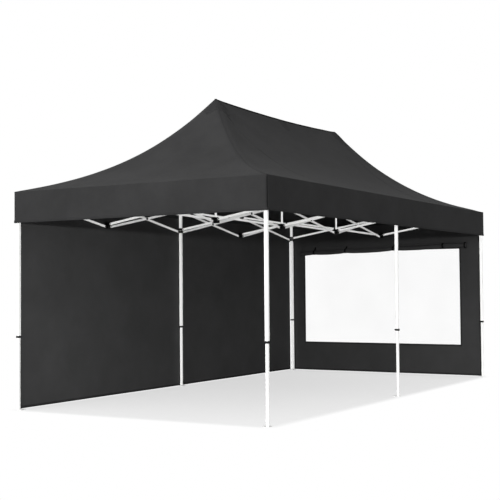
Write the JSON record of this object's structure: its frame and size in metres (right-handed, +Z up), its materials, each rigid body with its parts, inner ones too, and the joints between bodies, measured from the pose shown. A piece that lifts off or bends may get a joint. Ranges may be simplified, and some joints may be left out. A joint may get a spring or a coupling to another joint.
{
  "type": "pop up gazebo",
  "caption": "Folding garden gazebo: scissor lattice on telescopic legs under a two-peaked canopy with a straight valance, a solid long wall and a windowed end wall.",
  "frame": {"origin": "on the ground, at the middle of the plan", "axes": "+X along the long side towards the windowed end wall, +Y from the open front to the walled rear, +Z up"},
  "size_m": [5.924, 2.994, 3.268],
  "materials": {
    "white_frame": "white powder coat, satin",
    "pole_tube": "white powder coat, satin",
    "black_plastic": "moulded nylon, fine texture",
    "canopy_fabric": "coated polyester, fine weave",
    "wall_fabric": "coated polyester, fine weave",
    "window_film": "clear flexible film",
    "tie_webbing": "woven webbing with moulded toggles"
  },
  "bodies": {
    "root": {"leg_outer_front_centre": "white_frame", "leg_outer_rear_centre": "white_frame", "leg_collars_centre": "black_plastic", "upper_joints_centre": "black_plastic", "cross_joints_centre": "black_plastic", "cross_bars_centre": "white_frame", "ridge_pole_centre": "pole_tube", "canopy": "canopy_fabric", "rear_wall": "wall_fabric"},
    "bars_down_right_inner": {"long_bars_down_right_inner": "white_frame"},
    "bars_up_right_inner": {"long_bars_up_right_inner": "white_frame"},
    "sliders_centre": {"long_sliders_centre": "black_plastic"},
    "sliders_right_bay": {"long_sliders_right_bay": "black_plastic"},
    "column_right_bay": {"upper_joints_right_bay": "black_plastic", "cross_joints_right_bay": "black_plastic", "cross_bars_right_bay": "white_frame", "peak_pole_right": "pole_tube"},
    "bars_down_right_outer": {"long_bars_down_right_outer": "white_frame"},
    "bars_up_right_outer": {"long_bars_up_right_outer": "white_frame"},
    "sliders_right_end": {"long_sliders_right_end": "black_plastic"},
    "column_right_end": {"upper_joints_right_end": "black_plastic", "cross_joints_right_end": "black_plastic", "cross_bars_right_end": "white_frame", "leg_outer_front_right": "white_frame", "leg_outer_rear_right": "white_frame", "leg_collars_right": "black_plastic", "right_wall": "wall_fabric", "window_pane": "window_film", "window_blind": "wall_fabric", "blind_ties": "tie_webbing"},
    "bars_down_left_inner": {"long_bars_down_left_inner": "white_frame"},
    "bars_up_left_inner": {"long_bars_up_left_inner": "white_frame"},
    "sliders_left_bay": {"long_sliders_left_bay": "black_plastic"},
    "column_left_bay": {"upper_joints_left_bay": "black_plastic", "cross_joints_left_bay": "black_plastic", "cross_bars_left_bay": "white_frame", "peak_pole_left": "pole_tube"},
    "bars_down_left_outer": {"long_bars_down_left_outer": "white_frame"},
    "bars_up_left_outer": {"long_bars_up_left_outer": "white_frame"},
    "sliders_left_end": {"long_sliders_left_end": "black_plastic"},
    "column_left_end": {"upper_joints_left_end": "black_plastic", "cross_joints_left_end": "black_plastic", "cross_bars_left_end": "white_frame", "leg_outer_front_left": "white_frame", "leg_outer_rear_left": "white_frame", "leg_collars_left": "black_plastic"},
    "inner_leg_front_left": {"leg_inner_front_left": "white_frame"},
    "button_front_left": {"leg_button_front_left": "black_plastic"},
    "inner_leg_front_centre": {"leg_inner_front_centre": "white_frame"},
    "button_front_centre": {"leg_button_front_centre": "black_plastic"},
    "inner_leg_front_right": {"leg_inner_front_right": "white_frame"},
    "button_front_right": {"leg_button_front_right": "black_plastic"},
    "inner_leg_rear_left": {"leg_inner_rear_left": "white_frame"},
    "button_rear_left": {"leg_button_rear_left": "black_plastic"},
    "inner_leg_rear_centre": {"leg_inner_rear_centre": "white_frame"},
    "button_rear_centre": {"leg_button_rear_centre": "black_plastic"},
    "inner_leg_rear_right": {"leg_inner_rear_right": "white_frame"},
    "button_rear_right": {"leg_button_rear_right": "black_plastic"}
  },
  "joints": [
    {"name": "fold", "type": "hinge", "parent": "root", "child": "bars_down_right_inner", "pos_m": [0.045, 0, 2.195], "axis": [0, 1, 0], "range_deg": [0, 71.49], "deforming": ["canopy", "rear_wall", "window_blind", "blind_ties"]},
    {"name": "right_inner_scissor_pivot", "type": "hinge", "parent": "bars_down_right_inner", "child": "bars_up_right_inner", "pos_m": [0.7325, 0, 2.0675], "axis": [0, -1, 0], "range_deg": [0, 142.99]},
    {"name": "right_inner_far_top_pivot", "type": "hinge", "parent": "bars_up_right_inner", "child": "column_right_bay", "pos_m": [1.42, 0, 2.195], "axis": [0, 1, 0], "range_deg": [0, 71.49]},
    {"name": "right_inner_far_slider_pivot", "type": "hinge", "parent": "bars_down_right_inner", "child": "sliders_right_bay", "pos_m": [1.42, 0, 1.94], "axis": [0, -1, 0], "range_deg": [0, 71.49]},
    {"name": "centre_slider_pivot", "type": "hinge", "parent": "bars_up_right_inner", "child": "sliders_centre", "pos_m": [0.045, 0, 1.94], "axis": [0, 1, 0], "range_deg": [0, 71.49]},
    {"name": "right_outer_top_pivot", "type": "hinge", "parent": "column_right_bay", "child": "bars_down_right_outer", "pos_m": [1.51, 0, 2.195], "axis": [0, 1, 0], "range_deg": [0, 71.49]},
    {"name": "right_outer_scissor_pivot", "type": "hinge", "parent": "bars_down_right_outer", "child": "bars_up_right_outer", "pos_m": [2.1975, 0, 2.0675], "axis": [0, -1, 0], "range_deg": [0, 142.99]},
    {"name": "right_outer_far_top_pivot", "type": "hinge", "parent": "bars_up_right_outer", "child": "column_right_end", "pos_m": [2.885, 0, 2.195], "axis": [0, 1, 0], "range_deg": [0, 71.49]},
    {"name": "right_outer_far_slider_pivot", "type": "hinge", "parent": "bars_down_right_outer", "child": "sliders_right_end", "pos_m": [2.885, 0, 1.94], "axis": [0, -1, 0], "range_deg": [0, 71.49]},
    {"name": "left_inner_top_pivot", "type": "hinge", "parent": "root", "child": "bars_down_left_inner", "pos_m": [-0.045, 0, 2.195], "axis": [0, -1, 0], "range_deg": [0, 71.49]},
    {"name": "left_inner_scissor_pivot", "type": "hinge", "parent": "bars_down_left_inner", "child": "bars_up_left_inner", "pos_m": [-0.7325, 0, 2.0675], "axis": [0, 1, 0], "range_deg": [0, 142.99]},
    {"name": "left_inner_far_top_pivot", "type": "hinge", "parent": "bars_up_left_inner", "child": "column_left_bay", "pos_m": [-1.42, 0, 2.195], "axis": [0, -1, 0], "range_deg": [0, 71.49]},
    {"name": "left_inner_far_slider_pivot", "type": "hinge", "parent": "bars_down_left_inner", "child": "sliders_left_bay", "pos_m": [-1.42, 0, 1.94], "axis": [0, 1, 0], "range_deg": [0, 71.49]},
    {"name": "left_outer_top_pivot", "type": "hinge", "parent": "column_left_bay", "child": "bars_down_left_outer", "pos_m": [-1.51, 0, 2.195], "axis": [0, -1, 0], "range_deg": [0, 71.49]},
    {"name": "left_outer_scissor_pivot", "type": "hinge", "parent": "bars_down_left_outer", "child": "bars_up_left_outer", "pos_m": [-2.1975, 0, 2.0675], "axis": [0, 1, 0], "range_deg": [0, 142.99]},
    {"name": "left_outer_far_top_pivot", "type": "hinge", "parent": "bars_up_left_outer", "child": "column_left_end", "pos_m": [-2.885, 0, 2.195], "axis": [0, -1, 0], "range_deg": [0, 71.49]},
    {"name": "left_outer_far_slider_pivot", "type": "hinge", "parent": "bars_down_left_outer", "child": "sliders_left_end", "pos_m": [-2.885, 0, 1.94], "axis": [0, 1, 0], "range_deg": [0, 71.49]},
    {"name": "leg_height_front_left", "type": "slide", "parent": "column_left_end", "child": "inner_leg_front_left", "axis": [0, 0, 1], "range_m": [0, 0.65]},
    {"name": "snap_button_front_left", "type": "slide", "parent": "column_left_end", "child": "button_front_left", "axis": [0, -1, 0], "range_m": [0, 0.004], "stiffness_N_per_m": 800},
    {"name": "leg_height_front_centre", "type": "slide", "parent": "root", "child": "inner_leg_front_centre", "axis": [0, 0, 1], "range_m": [0, 0.65]},
    {"name": "snap_button_front_centre", "type": "slide", "parent": "root", "child": "button_front_centre", "axis": [0, -1, 0], "range_m": [0, 0.004], "stiffness_N_per_m": 800},
    {"name": "leg_height_front_right", "type": "slide", "parent": "column_right_end", "child": "inner_leg_front_right", "axis": [0, 0, 1], "range_m": [0, 0.65]},
    {"name": "snap_button_front_right", "type": "slide", "parent": "column_right_end", "child": "button_front_right", "axis": [0, -1, 0], "range_m": [0, 0.004], "stiffness_N_per_m": 800},
    {"name": "leg_height_rear_left", "type": "slide", "parent": "column_left_end", "child": "inner_leg_rear_left", "axis": [0, 0, 1], "range_m": [0, 0.65]},
    {"name": "snap_button_rear_left", "type": "slide", "parent": "column_left_end", "child": "button_rear_left", "axis": [0, 1, 0], "range_m": [0, 0.004], "stiffness_N_per_m": 800},
    {"name": "leg_height_rear_centre", "type": "slide", "parent": "root", "child": "inner_leg_rear_centre", "axis": [0, 0, 1], "range_m": [0, 0.65]},
    {"name": "snap_button_rear_centre", "type": "slide", "parent": "root", "child": "button_rear_centre", "axis": [0, 1, 0], "range_m": [0, 0.004], "stiffness_N_per_m": 800},
    {"name": "leg_height_rear_right", "type": "slide", "parent": "column_right_end", "child": "inner_leg_rear_right", "axis": [0, 0, 1], "range_m": [0, 0.65]},
    {"name": "snap_button_rear_right", "type": "slide", "parent": "column_right_end", "child": "button_rear_right", "axis": [0, 1, 0], "range_m": [0, 0.004], "stiffness_N_per_m": 800}
  ],
  "couplings": [
    {"joint": "right_inner_scissor_pivot", "follows": "fold", "ratio": 2},
    {"joint": "right_inner_far_top_pivot", "follows": "fold", "ratio": 1},
    {"joint": "right_inner_far_slider_pivot", "follows": "fold", "ratio": 1},
    {"joint": "centre_slider_pivot", "follows": "fold", "ratio": 1},
    {"joint": "right_outer_top_pivot", "follows": "fold", "ratio": 1},
    {"joint": "right_outer_scissor_pivot", "follows": "fold", "ratio": 2},
    {"joint": "right_outer_far_top_pivot", "follows": "fold", "ratio": 1},
    {"joint": "right_outer_far_slider_pivot", "follows": "fold", "ratio": 1},
    {"joint": "left_inner_top_pivot", "follows": "fold", "ratio": 1},
    {"joint": "left_inner_scissor_pivot", "follows": "fold", "ratio": 2},
    {"joint": "left_inner_far_top_pivot", "follows": "fold", "ratio": 1},
    {"joint": "left_inner_far_slider_pivot", "follows": "fold", "ratio": 1},
    {"joint": "left_outer_top_pivot", "follows": "fold", "ratio": 1},
    {"joint": "left_outer_scissor_pivot", "follows": "fold", "ratio": 2},
    {"joint": "left_outer_far_top_pivot", "follows": "fold", "ratio": 1},
    {"joint": "left_outer_far_slider_pivot", "follows": "fold", "ratio": 1}
  ]
}
